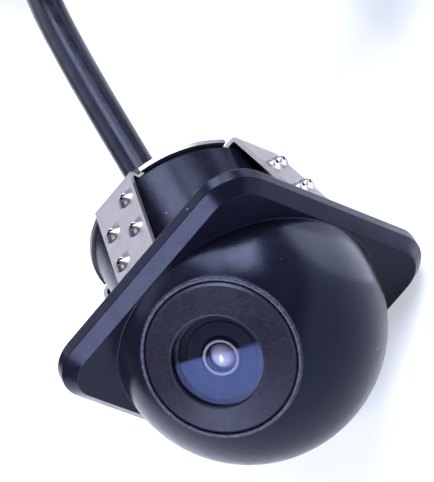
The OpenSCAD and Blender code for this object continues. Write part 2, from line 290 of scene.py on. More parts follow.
def placed(mesh, work, nodes, body="root", crease=32):
    """The piece whose shape is in work. It rides on a body, unless that is None, and stands for CAD nodes."""
    bmesh.ops.recalc_face_normals(work, faces=work.faces)
    work.to_mesh(mesh)
    work.free()
    mesh.shade_smooth()
    mesh.set_sharp_from_angle(angle=math.radians(crease))
    made = bpy.data.objects.new(mesh.name, mesh)
    bpy.context.scene.collection.objects.link(made)
    if body:
        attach(made, body)
    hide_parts(*nodes)
    return made


def piece(name, shape, nodes, body="root", crease=32):
    """A closed piece from points in the design's millimetres and their faces."""
    points, faces = shape
    mesh = bpy.data.meshes.new(name)
    mesh.from_pydata([Vector(p) * MM for p in points], [], faces)
    work = bmesh.new()
    work.from_mesh(mesh)
    bmesh.ops.remove_doubles(work, verts=work.verts, dist=2e-7)
    bmesh.ops.dissolve_degenerate(work, edges=work.edges, dist=1e-8)
    return placed(mesh, work, nodes, body, crease)


def joined(*shapes):
    """Several shapes as one."""
    points, faces = [], []
    for p, f in shapes:
        faces += [tuple(i + len(points) for i in face) for face in f]
        points += p
    return points, faces


# ---------------------------------------------------------------- materials

BAND_SCALE = math.pi / 10     # at this scale Blender's wave texture has one band to each unit


class Finish:
    """A procedural material round one Principled shader, in object space, with lengths in millimetres."""

    def __init__(self, name, colour, roughness, metallic=0.0, **sockets):
        self.material = bpy.data.materials.new(name)
        self.material.use_nodes = True
        self.tree = self.material.node_tree
        self.shader = self.tree.nodes["Principled BSDF"]
        self.put("Base Color", (*colour, 1))
        self.put("Roughness", roughness)
        self.put("Metallic", metallic)
        for socket, value in sockets.items():
            self.put(socket.replace("_", " "), value)
        self.colour = self.rough = self.height = None
        self.place = self.node("ShaderNodeTexCoord").outputs["Object"]
        self.base, self.roughness = (*colour, 1), roughness

    def put(self, socket, value):
        self.shader.inputs[socket].default_value = value

    def node(self, kind, **settings):
        made = self.tree.nodes.new(kind)
        for key, value in settings.items():
            setattr(made, key, value)
        return made

    def wire(self, source, target):
        self.tree.links.new(source, target)

    def pattern(self, kind, size, stretch=(1, 1, 1), scale=1.0, **settings):
        """A texture node whose unit is size millimetres, times stretch along each axis."""
        mapping = self.node("ShaderNodeMapping")
        self.wire(self.place, mapping.inputs["Vector"])
        mapping.inputs["Scale"].default_value = [1 / (size * MM * s) for s in stretch]
        made = self.node(kind, **settings)
        self.wire(mapping.outputs["Vector"], made.inputs["Vector"])
        made.inputs["Scale"].default_value = scale
        return made

    def noise(self, size, detail=3.0, stretch=(1, 1, 1), rough=0.55):
        """Noise from 0 to 1 whose blotches are about size millimetres across."""
        made = self.pattern("ShaderNodeTexNoise", size, stretch)
        made.inputs["Detail"].default_value = detail
        made.inputs["Roughness"].default_value = rough
        return made.outputs["Fac"]

    def cells(self, size):
        """Distance from the nearest of scattered points that are about size millimetres apart."""
        return self.pattern("ShaderNodeTexVoronoi", size).outputs["Distance"]

    def wave(self, size, distortion=0.0):
        """Bands across X, from 0 to 1 and size millimetres apart."""
        made = self.pattern("ShaderNodeTexWave", size, scale=BAND_SCALE, bands_direction="X")
        made.inputs["Distortion"].default_value = distortion
        return made.outputs["Fac"]

    def ramp(self, value, low, high, out_low=0.0, out_high=1.0):
        """A smooth step from out_low to out_high as value goes from low to high."""
        made = self.node("ShaderNodeMapRange", interpolation_type="SMOOTHSTEP")
        self.wire(value, made.inputs["Value"])
        ends = {"From Min": low, "From Max": high, "To Min": out_low, "To Max": out_high}
        for socket, number in ends.items():
            made.inputs[socket].default_value = number
        return made.outputs["Result"]

    def rise(self, way, height, over):
        """0 to 1 as a place passes height (mm) along way."""
        along = self.node("ShaderNodeVectorMath", operation="DOT_PRODUCT")
        self.wire(self.place, along.inputs[0])
        along.inputs[1].default_value = way / MM
        return self.ramp(along.outputs["Value"], height, height + over)

    def both(self, first, second):
        """The product of two shares: 1 only where both are."""
        product = self.node("ShaderNodeMath", operation="MULTIPLY")
        self.wire(first, product.inputs[0])
        self.wire(second, product.inputs[1])
        return product.outputs[0]

    def blend(self, share, colour):
        """Mixes another colour in where share is 1."""
        mix = self.node("ShaderNodeMix", data_type="RGBA")
        self.wire(share, mix.inputs["Factor"])
        if self.colour:
            self.wire(self.colour, mix.inputs["A"])
        else:
            mix.inputs["A"].default_value = self.base
        mix.inputs["B"].default_value = (*colour, 1)
        self.colour = mix.outputs["Result"]
        self.wire(self.colour, self.shader.inputs["Base Color"])
        return self

    def vary_roughness(self, value, amount):
        """Roughness varies by amount each way as value goes from 0 to 1."""
        spread = self.ramp(value, 0.25, 0.75, -amount, amount)
        add = self.node("ShaderNodeMath", operation="ADD")
        self.wire(spread, add.inputs[0])
        if self.rough:
            self.wire(self.rough, add.inputs[1])
        else:
            add.inputs[1].default_value = self.roughness
        self.rough = add.outputs[0]
        self.wire(self.rough, self.shader.inputs["Roughness"])
        return self

    def bump(self, value, depth):
        """Height from value, where 1 is depth millimetres proud."""
        made = self.node("ShaderNodeBump")
        made.inputs["Strength"].default_value = 1.0
        made.inputs["Distance"].default_value = depth * MM
        self.wire(value, made.inputs["Height"])
        if self.height:
            self.wire(self.height, made.inputs["Normal"])
        self.height = made.outputs["Normal"]
        self.wire(self.height, self.shader.inputs["Normal"])
        return self


def satin_plastic(name, colour, roughness=0.36, grain=0.16, depth=0.004, dust=True, gloss=0.16):
    """Moulded plastic: fine grain, faint blotches, and a few specks of dust."""
    made = Finish(name, colour, roughness, Specular_IOR_Level=gloss, Specular_Tint=(0.62, 0.69, 1, 1))
    made.blend(made.ramp(made.noise(2.6), 0.35, 0.7, 0, 0.5), [c * 1.5 for c in colour])
    if dust:
        specks = made.ramp(made.cells(2.4), 0.035, 0.075, 1, 0)
        some = made.ramp(made.noise(5.5, 1.0), 0.56, 0.6)
        dusty = made.both(specks, some)
        made.blend(dusty, (0.16, 0.16, 0.18))
        made.bump(dusty, 0.012)
    made.vary_roughness(made.noise(1.1, 5.0), 0.05)
    made.bump(made.noise(grain, 2.0), depth)
    made.bump(made.noise(1.4, 3.0), 0.006)
    return made


def make_materials():
    """Every material by its slot's name."""
    m = {}
    from_origin = LENS_FORWARD.dot(DOME_CENTRE)
    shell = satin_plastic("satin_black_plastic", (0.004, 0.0045, 0.0095), 0.22, depth=0.0065)
    shell.bump(shell.noise(0.6, 5.0, rough=0.7), 0.008)
    # The rim's front is painted paler, in spots: a painted highlight where its rounded front catches the light.
    painted_rim_highlight = shell.rise(LENS_FORWARD, RIM_TOP - 0.13 + from_origin, 0.08)
    shell.blend(painted_rim_highlight, (0.019, 0.0185, 0.028))
    spots = shell.ramp(shell.noise(0.35, 5.0, rough=0.8), 0.45, 0.6)
    shell.blend(shell.both(painted_rim_highlight, spots), (0.052, 0.05, 0.07))
    m["satin_black_plastic"] = shell
    ring = satin_plastic("retainer_plastic", (0.007, 0.0065, 0.011), 0.42, 0.12, 0.006, gloss=0.35)
    ring.blend(ring.ramp(ring.noise(0.3, 6.0, rough=0.8), 0.42, 0.7, 0, 0.45), (0.03, 0.027, 0.038))
    ring.bump(ring.noise(0.5, 5.0, rough=0.75), 0.024)
    m["retainer_plastic"] = ring
    black = satin_plastic("matte_black_plastic", (0.004, 0.004, 0.006), 0.5, 0.12, 0.005, False, 0.08)
    # The nose's front is painted pale: a painted highlight, a thin bright ring round the front lens.
    nose = black.rise(LENS_FORWARD, NOSE_TOP - 0.06 + from_origin, 0.03)
    black.blend(nose, (0.3, 0.28, 0.38))
    m["matte_black_plastic"] = black
    m["plug_plastic"] = satin_plastic("plug_plastic", (0.014, 0.014, 0.018), 0.45, 0.2, 0.012, False)
    m["socket_plastic"] = satin_plastic("socket_plastic", (0.62, 0.58, 0.48), 0.4, 0.2, 0.004, False)

    jacket = Finish("cable_jacket", (0.004, 0.0045, 0.009), 0.27, Specular_IOR_Level=0.2,
                    Specular_Tint=(0.7, 0.76, 1, 1))
    jacket.blend(jacket.ramp(jacket.noise(3.0, 3.0), 0.35, 0.7, 0, 0.6), (0.01, 0.0105, 0.018))
    jacket.vary_roughness(jacket.noise(1.6, 4.0), 0.06)
    jacket.bump(jacket.noise(0.3, 2.0), 0.006).bump(jacket.noise(2.4, 2.0), 0.02)
    m["cable_jacket"] = jacket

    rubber = Finish("black_rubber", (0.013, 0.013, 0.014), 0.62)
    rubber.blend(rubber.ramp(rubber.noise(0.9, 4.0), 0.4, 0.8, 0, 0.5), (0.035, 0.035, 0.036))
    rubber.vary_roughness(rubber.noise(0.7), 0.08).bump(rubber.noise(0.22, 3.0), 0.01)
    m["black_rubber"] = rubber
    red = Finish("red_rubber", (0.35, 0.035, 0.02), 0.45)
    red.blend(red.ramp(red.noise(0.8), 0.35, 0.7, 0, 0.5), (0.42, 0.07, 0.04))
    red.vary_roughness(red.noise(0.6), 0.07).bump(red.noise(0.2), 0.006)
    m["red_rubber"] = red

    steel = Finish("spring_steel", (0.31, 0.29, 0.29), 0.33, 1.0)
    steel.blend(steel.ramp(steel.noise(1.1, 4.0), 0.35, 0.75, 0, 0.6), (0.27, 0.25, 0.255))
    steel.vary_roughness(steel.noise(0.5, 4.0), 0.04)
    steel.bump(steel.noise(0.09, 2.0), 0.0015).bump(steel.noise(1.3, 2.0), 0.003)
    m["spring_steel"] = steel
    zinc = Finish("plated_steel", (0.72, 0.73, 0.76), 0.24, 1.0)
    zinc.blend(zinc.ramp(zinc.noise(0.4, 4.0), 0.4, 0.75, 0, 0.5), (0.52, 0.54, 0.6))
    zinc.vary_roughness(zinc.noise(0.3), 0.08).bump(zinc.noise(0.12, 3.0), 0.004)
    m["plated_steel"] = zinc
    nut = Finish("nut_metal", (0.30, 0.30, 0.33), 0.3, 1.0)
    nut.blend(nut.ramp(nut.noise(1.5, 5.0), 0.4, 0.75, 0, 0.7), (0.17, 0.17, 0.19))
    nut.vary_roughness(nut.noise(0.6, 4.0), 0.09).bump(nut.noise(0.12, 3.0), 0.005)
    m["nut_metal"] = nut
    gold = Finish("gold_contact", (0.83, 0.6, 0.24), 0.22, 1.0)
    gold.blend(gold.ramp(gold.noise(0.5), 0.4, 0.7, 0, 0.6), (0.72, 0.5, 0.2))
    gold.vary_roughness(gold.noise(0.4), 0.08).bump(gold.noise(0.1, 3.0), 0.003)
    m["gold_contact"] = gold

    window = Finish("coated_glass", (0.004, 0.005, 0.012), 0.012, 0.0, Alpha=0.15, IOR=1.52,
                    Specular_IOR_Level=0.84, Specular_Tint=(0.32, 0.45, 1.0, 1))
    window.blend(window.ramp(window.noise(1.0, 5.0, (0.25, 1, 1)), 0.4, 0.8, 0, 0.5), (0.012, 0.016, 0.04))
    window.vary_roughness(window.noise(0.8, 5.0, (0.2, 1, 1)), 0.008)
    window.bump(window.noise(2.0, 2.0), 0.0004)
    m["coated_glass"] = window
    lens = Finish("lens_glass", (0.46, 0.43, 0.57), 0.08, 0.0, Coat_Weight=1.0, Coat_Roughness=0.02, IOR=1.7)
    lens.blend(lens.ramp(lens.noise(0.5), 0.4, 0.8, 0, 0.4), (0.36, 0.34, 0.46))
    lens.vary_roughness(lens.noise(0.4), 0.03).bump(lens.noise(0.6), 0.001)
    m["lens_glass"] = lens
    cut = Finish("filter_glass", (0.35, 0.75, 0.82), 0.05, 0.0, Transmission_Weight=0.7, IOR=1.52)
    cut.blend(cut.ramp(cut.noise(2.0), 0.3, 0.7, 0, 0.5), (0.6, 0.4, 0.75))
    cut.vary_roughness(cut.noise(1.0), 0.03).bump(cut.noise(2.0), 0.001)
    m["filter_glass"] = cut

    board = Finish("circuit_board", (0.02, 0.12, 0.05), 0.35)
    board.blend(board.ramp(board.wave(0.5, 4.0), 0.55, 0.65, 0, 0.7), (0.035, 0.19, 0.08))
    board.vary_roughness(board.noise(0.6), 0.08).bump(board.wave(0.5, 4.0), 0.01)
    m["circuit_board"] = board
    chip = Finish("chip_epoxy", (0.02, 0.02, 0.021), 0.5)
    chip.blend(chip.ramp(chip.noise(0.12, 4.0), 0.4, 0.7), (0.035, 0.035, 0.037))
    chip.vary_roughness(chip.noise(0.2), 0.08).bump(chip.noise(0.08), 0.006)
    m["chip_epoxy"] = chip
    ceramic = Finish("ceramic", (0.42, 0.27, 0.13), 0.45)
    ceramic.blend(ceramic.ramp(ceramic.noise(0.3), 0.35, 0.7), (0.5, 0.36, 0.2))
    ceramic.vary_roughness(ceramic.noise(0.2), 0.08).bump(ceramic.noise(0.1), 0.004)
    m["ceramic"] = ceramic
    film = Finish("polyimide", (0.55, 0.25, 0.04), 0.25)
    film.blend(film.ramp(film.wave(0.5), 0.4, 0.6), (0.36, 0.14, 0.03))
    film.vary_roughness(film.noise(0.8), 0.07).bump(film.wave(0.5), 0.01)
    m["polyimide"] = film
    sleeve = Finish("capacitor_can", (0.03, 0.045, 0.12), 0.3)
    sleeve.blend(sleeve.ramp(sleeve.noise(0.8), 0.35, 0.7), (0.05, 0.07, 0.17))
    sleeve.vary_roughness(sleeve.noise(0.5), 0.07).bump(sleeve.noise(0.3), 0.006)
    m["capacitor_can"] = sleeve
    core = Finish("ferrite", (0.05, 0.042, 0.036), 0.55)
    core.blend(core.ramp(core.noise(0.2, 4.0), 0.35, 0.7), (0.08, 0.07, 0.06))
    core.vary_roughness(core.noise(0.2), 0.09).bump(core.noise(0.12), 0.01)
    m["ferrite"] = core
    wires = Finish("wire_insulation", (0.42, 0.03, 0.02), 0.4)
    wires.blend(wires.ramp(wires.wave(1.0), 0.45, 0.55), (0.5, 0.42, 0.04))
    wires.vary_roughness(wires.noise(0.4), 0.07).bump(wires.noise(0.25), 0.006)
    m["wire_insulation"] = wires

    strap = Finish("tie_fabric", (0.018, 0.018, 0.02), 0.85, 0.0, Sheen_Weight=0.35)
    strap.blend(strap.ramp(strap.wave(0.34), 0.2, 0.8, 0, 0.7), (0.045, 0.045, 0.05))
    strap.blend(strap.ramp(strap.noise(0.3, 5.0), 0.45, 0.75, 0, 0.7), (0.07, 0.07, 0.075))
    strap.vary_roughness(strap.noise(0.4), 0.06)
    strap.bump(strap.wave(0.34), 0.03).bump(strap.noise(0.16, 4.0), 0.07)
    m["tie_fabric"] = strap
    return {name: finish.material for name, finish in m.items()}


MATERIALS = make_materials()
SLOT_OF = {part["node"]: part["material_slot"] for part in frame["record"]["subparts"]}


def dress(made, slot):
    """Gives a piece the material of a slot."""
    made.data.materials.clear()
    made.data.materials.append(MATERIALS[slot])


# ---------------------------------------------------------------- housing

def square_outline(half, corner, straight=40, bend=16):
    """Places round a rounded square, with their outward directions, in X and Z."""
    flat = half - corner
    line = []
    for side in range(4):
        turn = Matrix.Rotation(side * math.pi / 2, 2)
        for k in range(straight):
            line.append((turn @ Vector((half, -flat + 2 * flat * k / straight)), turn @ Vector((1, 0))))
        for k in range(bend):
            a = math.pi / 2 * k / bend
            out = Vector((math.cos(a), math.sin(a)))
            line.append((turn @ (Vector((flat, flat)) + out * corner), turn @ out))
    return line


def housing_column(edge, out):
    """One line of the housing's skin, from inside the lens opening out and back to the barrel's bore."""
    plateau = FLANGE_EDGE + BEVEL_HEIGHT
    inset = edge - out * BEVEL_WIDTH
    around = inset.normalized()
    gap = inset.length - DOME_R
    # The fillet round the dome is narrow at the middle of each side, where the bevel almost meets it.
    fillet = min(0.15, max(0.004, 0.8 * (gap - 0.046)))

    def surface(radius):
        return math.sqrt(DOME_R ** 2 - radius ** 2)

    # Fillet between dome and flange: it touches the dome's widest circle and the flange's front.
    arc = []
    for k in range(6):
        a = math.pi / 2 * k / 5
        r = DOME_R + fillet - fillet * math.cos(a)
        arc.append(Vector((around.x * r, -plateau - fillet + fillet * math.sin(a), around.y * r)))
    rise = math.sqrt(DOME_R ** 2 - (plateau + fillet - DOME_FORWARD) ** 2)
    start = Vector((around.x * rise, -plateau - fillet, around.y * rise)) - DOME_CENTRE
    far = start.angle(LENS_FORWARD)
    side = (start - LENS_FORWARD * start.dot(LENS_FORWARD)).normalized()
    x, y = side.x, side.dot(LENS_UP)

    outer = RIM_R + RIM_ROUND
    inner = RIM_R - RIM_ROUND
    top = RIM_TOP + RIM_ROUND - RIM_CLEAR
    foot = outer + 0.24
    column = [on_lens(x * r, y * r, h) for r, h in rounded([
        (4.85, 5.5), (4.85, 8.62), (inner, 8.62), (inner, top, 0.13), (outer, top, 0.17),
        (outer, surface(outer), 0.12), (foot, surface(foot))])]
    near = math.asin(foot / DOME_R)
    rows = 52
    for k in range(1, rows):
        a = near + (far - near) * k / rows
        column.append(DOME_CENTRE + (LENS_FORWARD * math.cos(a) + side * math.sin(a)) * DOME_R)
    column += arc
    rim = rounded([(-BEVEL_WIDTH - 0.3, plateau), (-BEVEL_WIDTH, plateau, 0.1), (0, FLANGE_EDGE, 0.14),
                   (0, 0, 0.2), (-0.6, 0)])[1:]
    edge_points = [Vector((edge.x + out.x * o, -h, edge.y + out.y * o)) for o, h in rim]
    last, first = arc[-1], edge_points[0]
    column += [last.lerp(first, k / 7) for k in range(1, 7)]
    column += edge_points
    column += [Vector((around.x * r, h, around.y * r)) for r, h in rounded([
        (10.2, 0), (BARREL_R, 0, 0.2), (BARREL_R, 4), (BARREL_R, 8), (BARREL_R, BARREL_END, 0.4),
        (BORE_R, BARREL_END, 0.1), (BORE_R, 4), (BORE_R, -3.5)])]
    return column


def make_housing():
    """The dome, flange and barrel as one skin."""
    columns = [housing_column(edge, out) for edge, out in square_outline(FLANGE_HALF, FLANGE_CORNER)]
    rings = [list(ring) for ring in zip(*columns)]
    dress(piece("housing_shell", loft(rings, closed=True), nodes=["housing"]), "satin_black_plastic")


# ---------------------------------------------------------------- lens

def make_retainer():
    """The wide ring that holds the window, with a bevelled front that rises towards its opening."""
    seat, thread, skirt = 4.83, 6.98, RETAINER_R + 0.1
    bezel = rounded([(seat, 8.65), (thread, 8.65), (thread, 9.9, 0.03), (skirt, 10, 0.03),
                     (skirt, 10.45, 0.06), (RETAINER_R - 0.13, 10.76, 0.1),
                     (OPENING_R + 0.14, 11.93, 0.06), (OPENING_R, 11.85, 0.03),
                     (OPENING_R, WINDOW_TOP), (seat, WINDOW_TOP)], closed=True)
    dress(piece("retainer_ring", turned(bezel, on_lens, 224), nodes=["lens_retainer"]), "retainer_plastic")


def make_window():
    bottom = WINDOW_TOP - WINDOW_THICK
    pane = rounded([(0, bottom), (WINDOW_R, bottom, 0.05), (WINDOW_R, WINDOW_TOP, 0.05), (0, WINDOW_TOP)])
    dress(piece("window_pane", turned(pane, on_lens, 128, False), nodes=["cover_window"]), "coated_glass")


def make_lens_barrel():
    """The lens barrel, with two shallow steps and a small raised nose round the front lens."""
    bore, back = 2.58, 1.2
    barrel = rounded([(bore, back), (3.5, back, 0.1), (3.5, 9), (4.6, 9, 0.05), (4.6, 10.18, 0.08),
                      (4.1, 10.18, 0.04), (4.0, 10.05, 0.04), (3.3, 10.05, 0.04), (3.2, 10.14, 0.04),
                      (1.95, 10.14, 0.06), (1.6, NOSE_TOP, 0.05), (1.44, NOSE_TOP, 0.04),
                      (1.2, 10.12, 0.03), (1.2, 9.4), (bore, 9.4)], closed=True)
    dress(piece("lens_barrel_turned", turned(barrel, on_lens, 128), nodes=["lens_barrel"]),
          "matte_black_plastic")


def make_front_lens():
    """A flat disc with a ball-shaped front."""
    ball_r, ball_h = 1.15, 9.3
    angles = [math.radians(4 * k) for k in range(23)]
    dome = [(ball_r * math.sin(a), ball_h + ball_r * math.cos(a)) for a in angles]
    front = [(0, 8.4), (2.5, 8.4), (2.55, 8.45), (2.55, 9.33), (2.5, 9.38)] + dome[::-1]
    dress(piece("front_lens", turned(front, on_lens, 96, False), nodes=["front_element"]), "lens_glass")


# ---------------------------------------------------------------- spring clip

BEND_R = BEND_INNER + SHEET
LEG_SLOPE = math.atan((FOOT_OUT - BEND_OUT) / PLATE_BACK)
BEND_TURN = math.pi / 2 - LEG_SLOPE
BEND_Z = BEND_OUT - BEND_R * math.tan(BEND_TURN / 2)
BEND_Y = PLATE_BACK - BEND_R
LEG_LENGTH = (BEND_Y + BEND_R * math.sin(LEG_SLOPE) - FOOT_GAP) / math.cos(LEG_SLOPE)
ROOT_LENGTH = 0.75        # flat stretch between the plate and the bend
BUMP_HEIGHT = 0.6
BUMP_R = 0.95
BUMP_PITCH = 2.27
BUMP_SIDE = 1.3           # the bumps lie this far to one side and the other in turn
FIRST_BUMP = 2.45
HOLE_R = 0.27             # of the torn hole at a bump's tip
HOLLOW_R = 0.8            # of the dent behind a bump
TORN_EDGE = 0.09          # thickness of the sheet at the hole
PATCH = 1.1               # half the side of the square round a bump
PATCH_CELLS = 8
RELIEF = 0.6              # width of the notch beside a leg's root
PLATE_R = 9.6


def leg_place(u, s, d):
    """A place on the leg above the barrel.

    u is across it, s along it from the end of its bend, and d out of its outer face.
    """
    arc = BEND_R * BEND_TURN
    if s >= 0:
        a = BEND_TURN
    else:
        a = max(0.0, BEND_TURN + s / BEND_R)
    r = BEND_R + d
    y, z = BEND_Y + r * math.cos(a), BEND_Z + r * math.sin(a)
    if s > 0:
        y, z = y - s * math.cos(LEG_SLOPE), z + s * math.sin(LEG_SLOPE)
    elif s < -arc:
        z += s + arc
    return Vector((u, y, z))


def crown(r, a):
    """At a bump, at radius r and angle a: the sheet's outer and inner height, and the torn hole's radius."""
    hole = HOLE_R * (1 + 0.3 * math.cos(3 * a))
    tip = BUMP_HEIGHT * (0.86 - 0.14 * math.cos(3 * a))
    outer = tip * smooth((BUMP_R - r) / (BUMP_R - hole)) ** 0.8
    inner = -SHEET + (tip + SHEET - TORN_EDGE) * smooth((HOLLOW_R - r) / (HOLLOW_R - hole))
    return outer, inner, hole


def bump_shape(side, centre, cells):
    """The square patch round one bump: its outer face, the wall of its torn hole and its inner face."""
    border = [(c - PATCH, -PATCH) for c in cells[:-1]] + [(PATCH, c - PATCH) for c in cells[:-1]]
    border += [(PATCH - c, PATCH) for c in cells[:-1]] + [(-PATCH, PATCH - c) for c in cells[:-1]]
    outer_rings = [[leg_place(side + x, centre + y, 0) for x, y in border]]
    inner_rings = [[leg_place(side + x, centre + y, -SHEET) for x, y in border]]
    steps = 9
    for j in range(steps + 1):
        outer_ring, inner_ring = [], []
        for x, y in border:
            a = math.atan2(y, x)
            hole = crown(0, a)[2]
            r = BUMP_R + (hole - BUMP_R) * j / steps
            outer, inner, _ = crown(r, a)
            outer_ring.append(leg_place(side + r * math.cos(a), centre + r * math.sin(a), outer))
            inner_ring.append(leg_place(side + r * math.cos(a), centre + r * math.sin(a), inner))
        outer_rings.append(outer_ring)
        inner_rings.append(inner_ring)
    return loft(outer_rings + inner_rings[::-1])


def leg_shape():
    """The leg above the barrel as a skin: its outer and inner faces, its sides, and its torn bumps."""
    half = LEG_WIDTH / 2
    left, right = -BUMP_SIDE - PATCH, BUMP_SIDE - PATCH
    cells = [2 * PATCH * k / PATCH_CELLS for k in range(PATCH_CELLS + 1)]
    across = [-half] + [left + c for c in cells] + [right + c for c in cells] + [half]
    centres = [FIRST_BUMP + BUMP_PITCH * k for k in range(4)]
    bumps = [(BUMP_SIDE * (1 - 2 * (k % 2)), centre) for k, centre in enumerate(centres)]
    arc = BEND_R * BEND_TURN
    along = [-arc - ROOT_LENGTH] + [-arc * (1 - k / 10) for k in range(10)]
    along += [(centres[0] - PATCH) * k / 4 for k in range(4)]
    for centre in centres:
        along += [centre - PATCH + c for c in cells]
    along += [centres[-1] + PATCH + (LEG_LENGTH - centres[-1] - PATCH) * k / 3 for k in range(1, 4)]

    def in_patch(u, s):
        return any(abs(s - centre) < PATCH and abs(u - side) < PATCH for side, centre in bumps)

    points, faces = [], []

    def quad(*corners):
        faces.append(tuple(range(len(points), len(points) + 4)))
        points.extend(leg_place(*c) for c in corners)

    for s0, s1 in zip(along, along[1:]):
        for u0, u1 in zip(across, across[1:]):
            if not in_patch((u0 + u1) / 2, (s0 + s1) / 2):
                for d in (0, -SHEET):
                    quad((u0, s0, d), (u1, s0, d), (u1, s1, d), (u0, s1, d))
        for u in (-half, half):
            quad((u, s0, 0), (u, s1, 0), (u, s1, -SHEET), (u, s0, -SHEET))
    for u0, u1 in zip(across, across[1:]):
        for s in (along[0], along[-1]):
            quad((u0, s, 0), (u1, s, 0), (u1, s, -SHEET), (u0, s, -SHEET))
    return joined((points, faces), *(bump_shape(side, centre, cells) for side, centre in bumps))


def make_legs():
    """Four legs, one to each side, turned into place about the barrel's axis."""
    points, faces = leg_shape()
    for k, side in enumerate(("top", "right", "bottom", "left")):
        turn = Matrix.Rotation(math.radians(90 * k), 3, "Y")
        body = f"clip_leg_{side}"
        skin = [turn @ p for p in points], faces
        made = piece(f"spring_leg_{side}", skin, nodes=[body], body=None, crease=38)
        bend_start = turn @ leg_place(0, -BEND_R * BEND_TURN, -SHEET / 2)
        bend_end = turn @ leg_place(0, 0, -SHEET / 2)
        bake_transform(made)
        dress(made, "spring_steel")


def plate_outline():
    """The plate's edge in X and Z: an arc between each two legs, and a notch on each side of a leg's root."""
    notch = LEG_WIDTH / 2 + RELIEF
    root = BEND_Z - ROOT_LENGTH
    first = math.asin(notch / PLATE_R)
    steps = 24
    line = []
    for k in range(4):
        turn = Matrix.Rotation(-math.pi / 2 * k, 2)
        quarter = [Vector((-LEG_WIDTH / 2, root)), Vector((LEG_WIDTH / 2, root)), Vector((notch, root))]
        for j in range(steps + 1):
            a = math.pi / 2 - first - (math.pi / 2 - 2 * first) * j / steps
            quarter.append(Vector((PLATE_R * math.cos(a), PLATE_R * math.sin(a))))
        quarter.append(Vector((root, notch)))
        line += [turn @ p for p in quarter]
    return line


def make_plate():
    """The rear plate: its outline less the holes for the lead and the screws, one sheet thick."""
    lead_hole, screw_hole = 2.5, 1
    work = bmesh.new()

    def closed_line(line):
        corners = [work.verts.new((x * MM, BARREL_END * MM, z * MM)) for x, z in line]
        return [work.edges.new((a, b)) for a, b in zip(corners, corners[1:] + corners[:1])]

    edges = closed_line(plate_outline())
    for x, z, r in ((CABLE_X, CABLE_Z, lead_hole), (SCREW_X, SCREW_X, screw_hole),
                    (-SCREW_X, -SCREW_X, screw_hole)):
        edges += closed_line([(x + across, z + up) for across, up in circle(r, 48)])
    bmesh.ops.triangle_fill(work, use_beauty=True, use_dissolve=False, edges=edges)
    flat = list(work.faces)
    grown = bmesh.ops.extrude_face_region(work, geom=flat, use_keep_orig=True)
    moved = [v for v in grown["geom"] if isinstance(v, bmesh.types.BMVert)]
    bmesh.ops.translate(work, verts=moved, vec=(0, SHEET * MM, 0))
    made = placed(bpy.data.meshes.new("clip_plate_sheet"), work, nodes=["clip_plate"], crease=30)
    dress(made, "spring_steel")


def screw_head(x, y):
    """How far below its flat top a pan head with a cross recess lies, at a place on the head."""
    flat_r, shoulder, drop = 0.7, 0.82, 0.55
    slot_reach, slot_half, recess = 0.95, 0.2, 0.5

    def slot(along, across):
        return min(smooth((slot_reach - abs(along)) / 0.1), smooth((slot_half - abs(across)) / 0.07))

    dome = drop * smooth((math.hypot(x, y) - flat_r) / shoulder) ** 1.6
    return dome + recess * max(slot(x, y), slot(y, x))


def make_screws():
    """Two pan-head screws, from their points up and then inwards over their heads."""
    head_r, head_top, shank_r, point = 1.5, PLATE_BACK + 1, 0.84, 6
    steps, head_rings = 120, 28
    rings = []
    for r, h in ((0, point), (0.6, point), (shank_r, point + 0.3), (shank_r, PLATE_BACK - 0.02),
                 (head_r - 0.05, PLATE_BACK), (head_r, PLATE_BACK + 0.08)):
        rings.append([(x, y, h) for x, y in circle(r, steps)])
    for j in range(head_rings + 1):
        places = circle(head_r * (1 - j / head_rings), steps)
        rings.append([(x, y, head_top - screw_head(x, y)) for x, y in places])
    shapes = []
    for centre in (SCREW_X, -SCREW_X):
        shapes.append(loft([[on_barrel(centre + x, centre + y, h) for x, y, h in ring] for ring in rings]))
    dress(piece("clip_screw_pair", joined(*shapes), nodes=["clip_screws"]), "plated_steel")


# ---------------------------------------------------------------- boot, tie and plug

def make_boot():
    """The strain relief, a ribbed taper with its flanged foot inside the barrel."""
    hole, collar, tip = CORD_D / 2 + 0.02, 3.0, 2.1
    start, end = PLATE_BACK + 1.2, 18.4

    def taper(y):
        return collar + (tip - collar) * (y - start) / (end - start)

    foot, foot_front, foot_back, neck = 3.3, 8.7, 9.2, 2.3
    profile = [(hole, foot_front), (foot, foot_front), (foot, foot_back), (neck, foot_back),
               (neck, PLATE_BACK), (collar, PLATE_BACK, 0.05), (collar, start, 0.2)]
    groove, pitch = 0.35, 1.05
    for k in range(4):
        y = start + 0.7 + pitch * k
        profile += [(taper(y), y, 0.08), (taper(y) - groove, y + 0.12, 0.08),
                    (taper(y) - groove, y + 0.42, 0.08), (taper(y + 0.55), y + 0.55, 0.08)]
    profile += [(tip, end, 0.22), (hole, end)]
    dress(piece("lead_boot", turned(rounded(profile, closed=True), on_cable, 96), nodes=["cable_boot"]),
          "black_rubber")


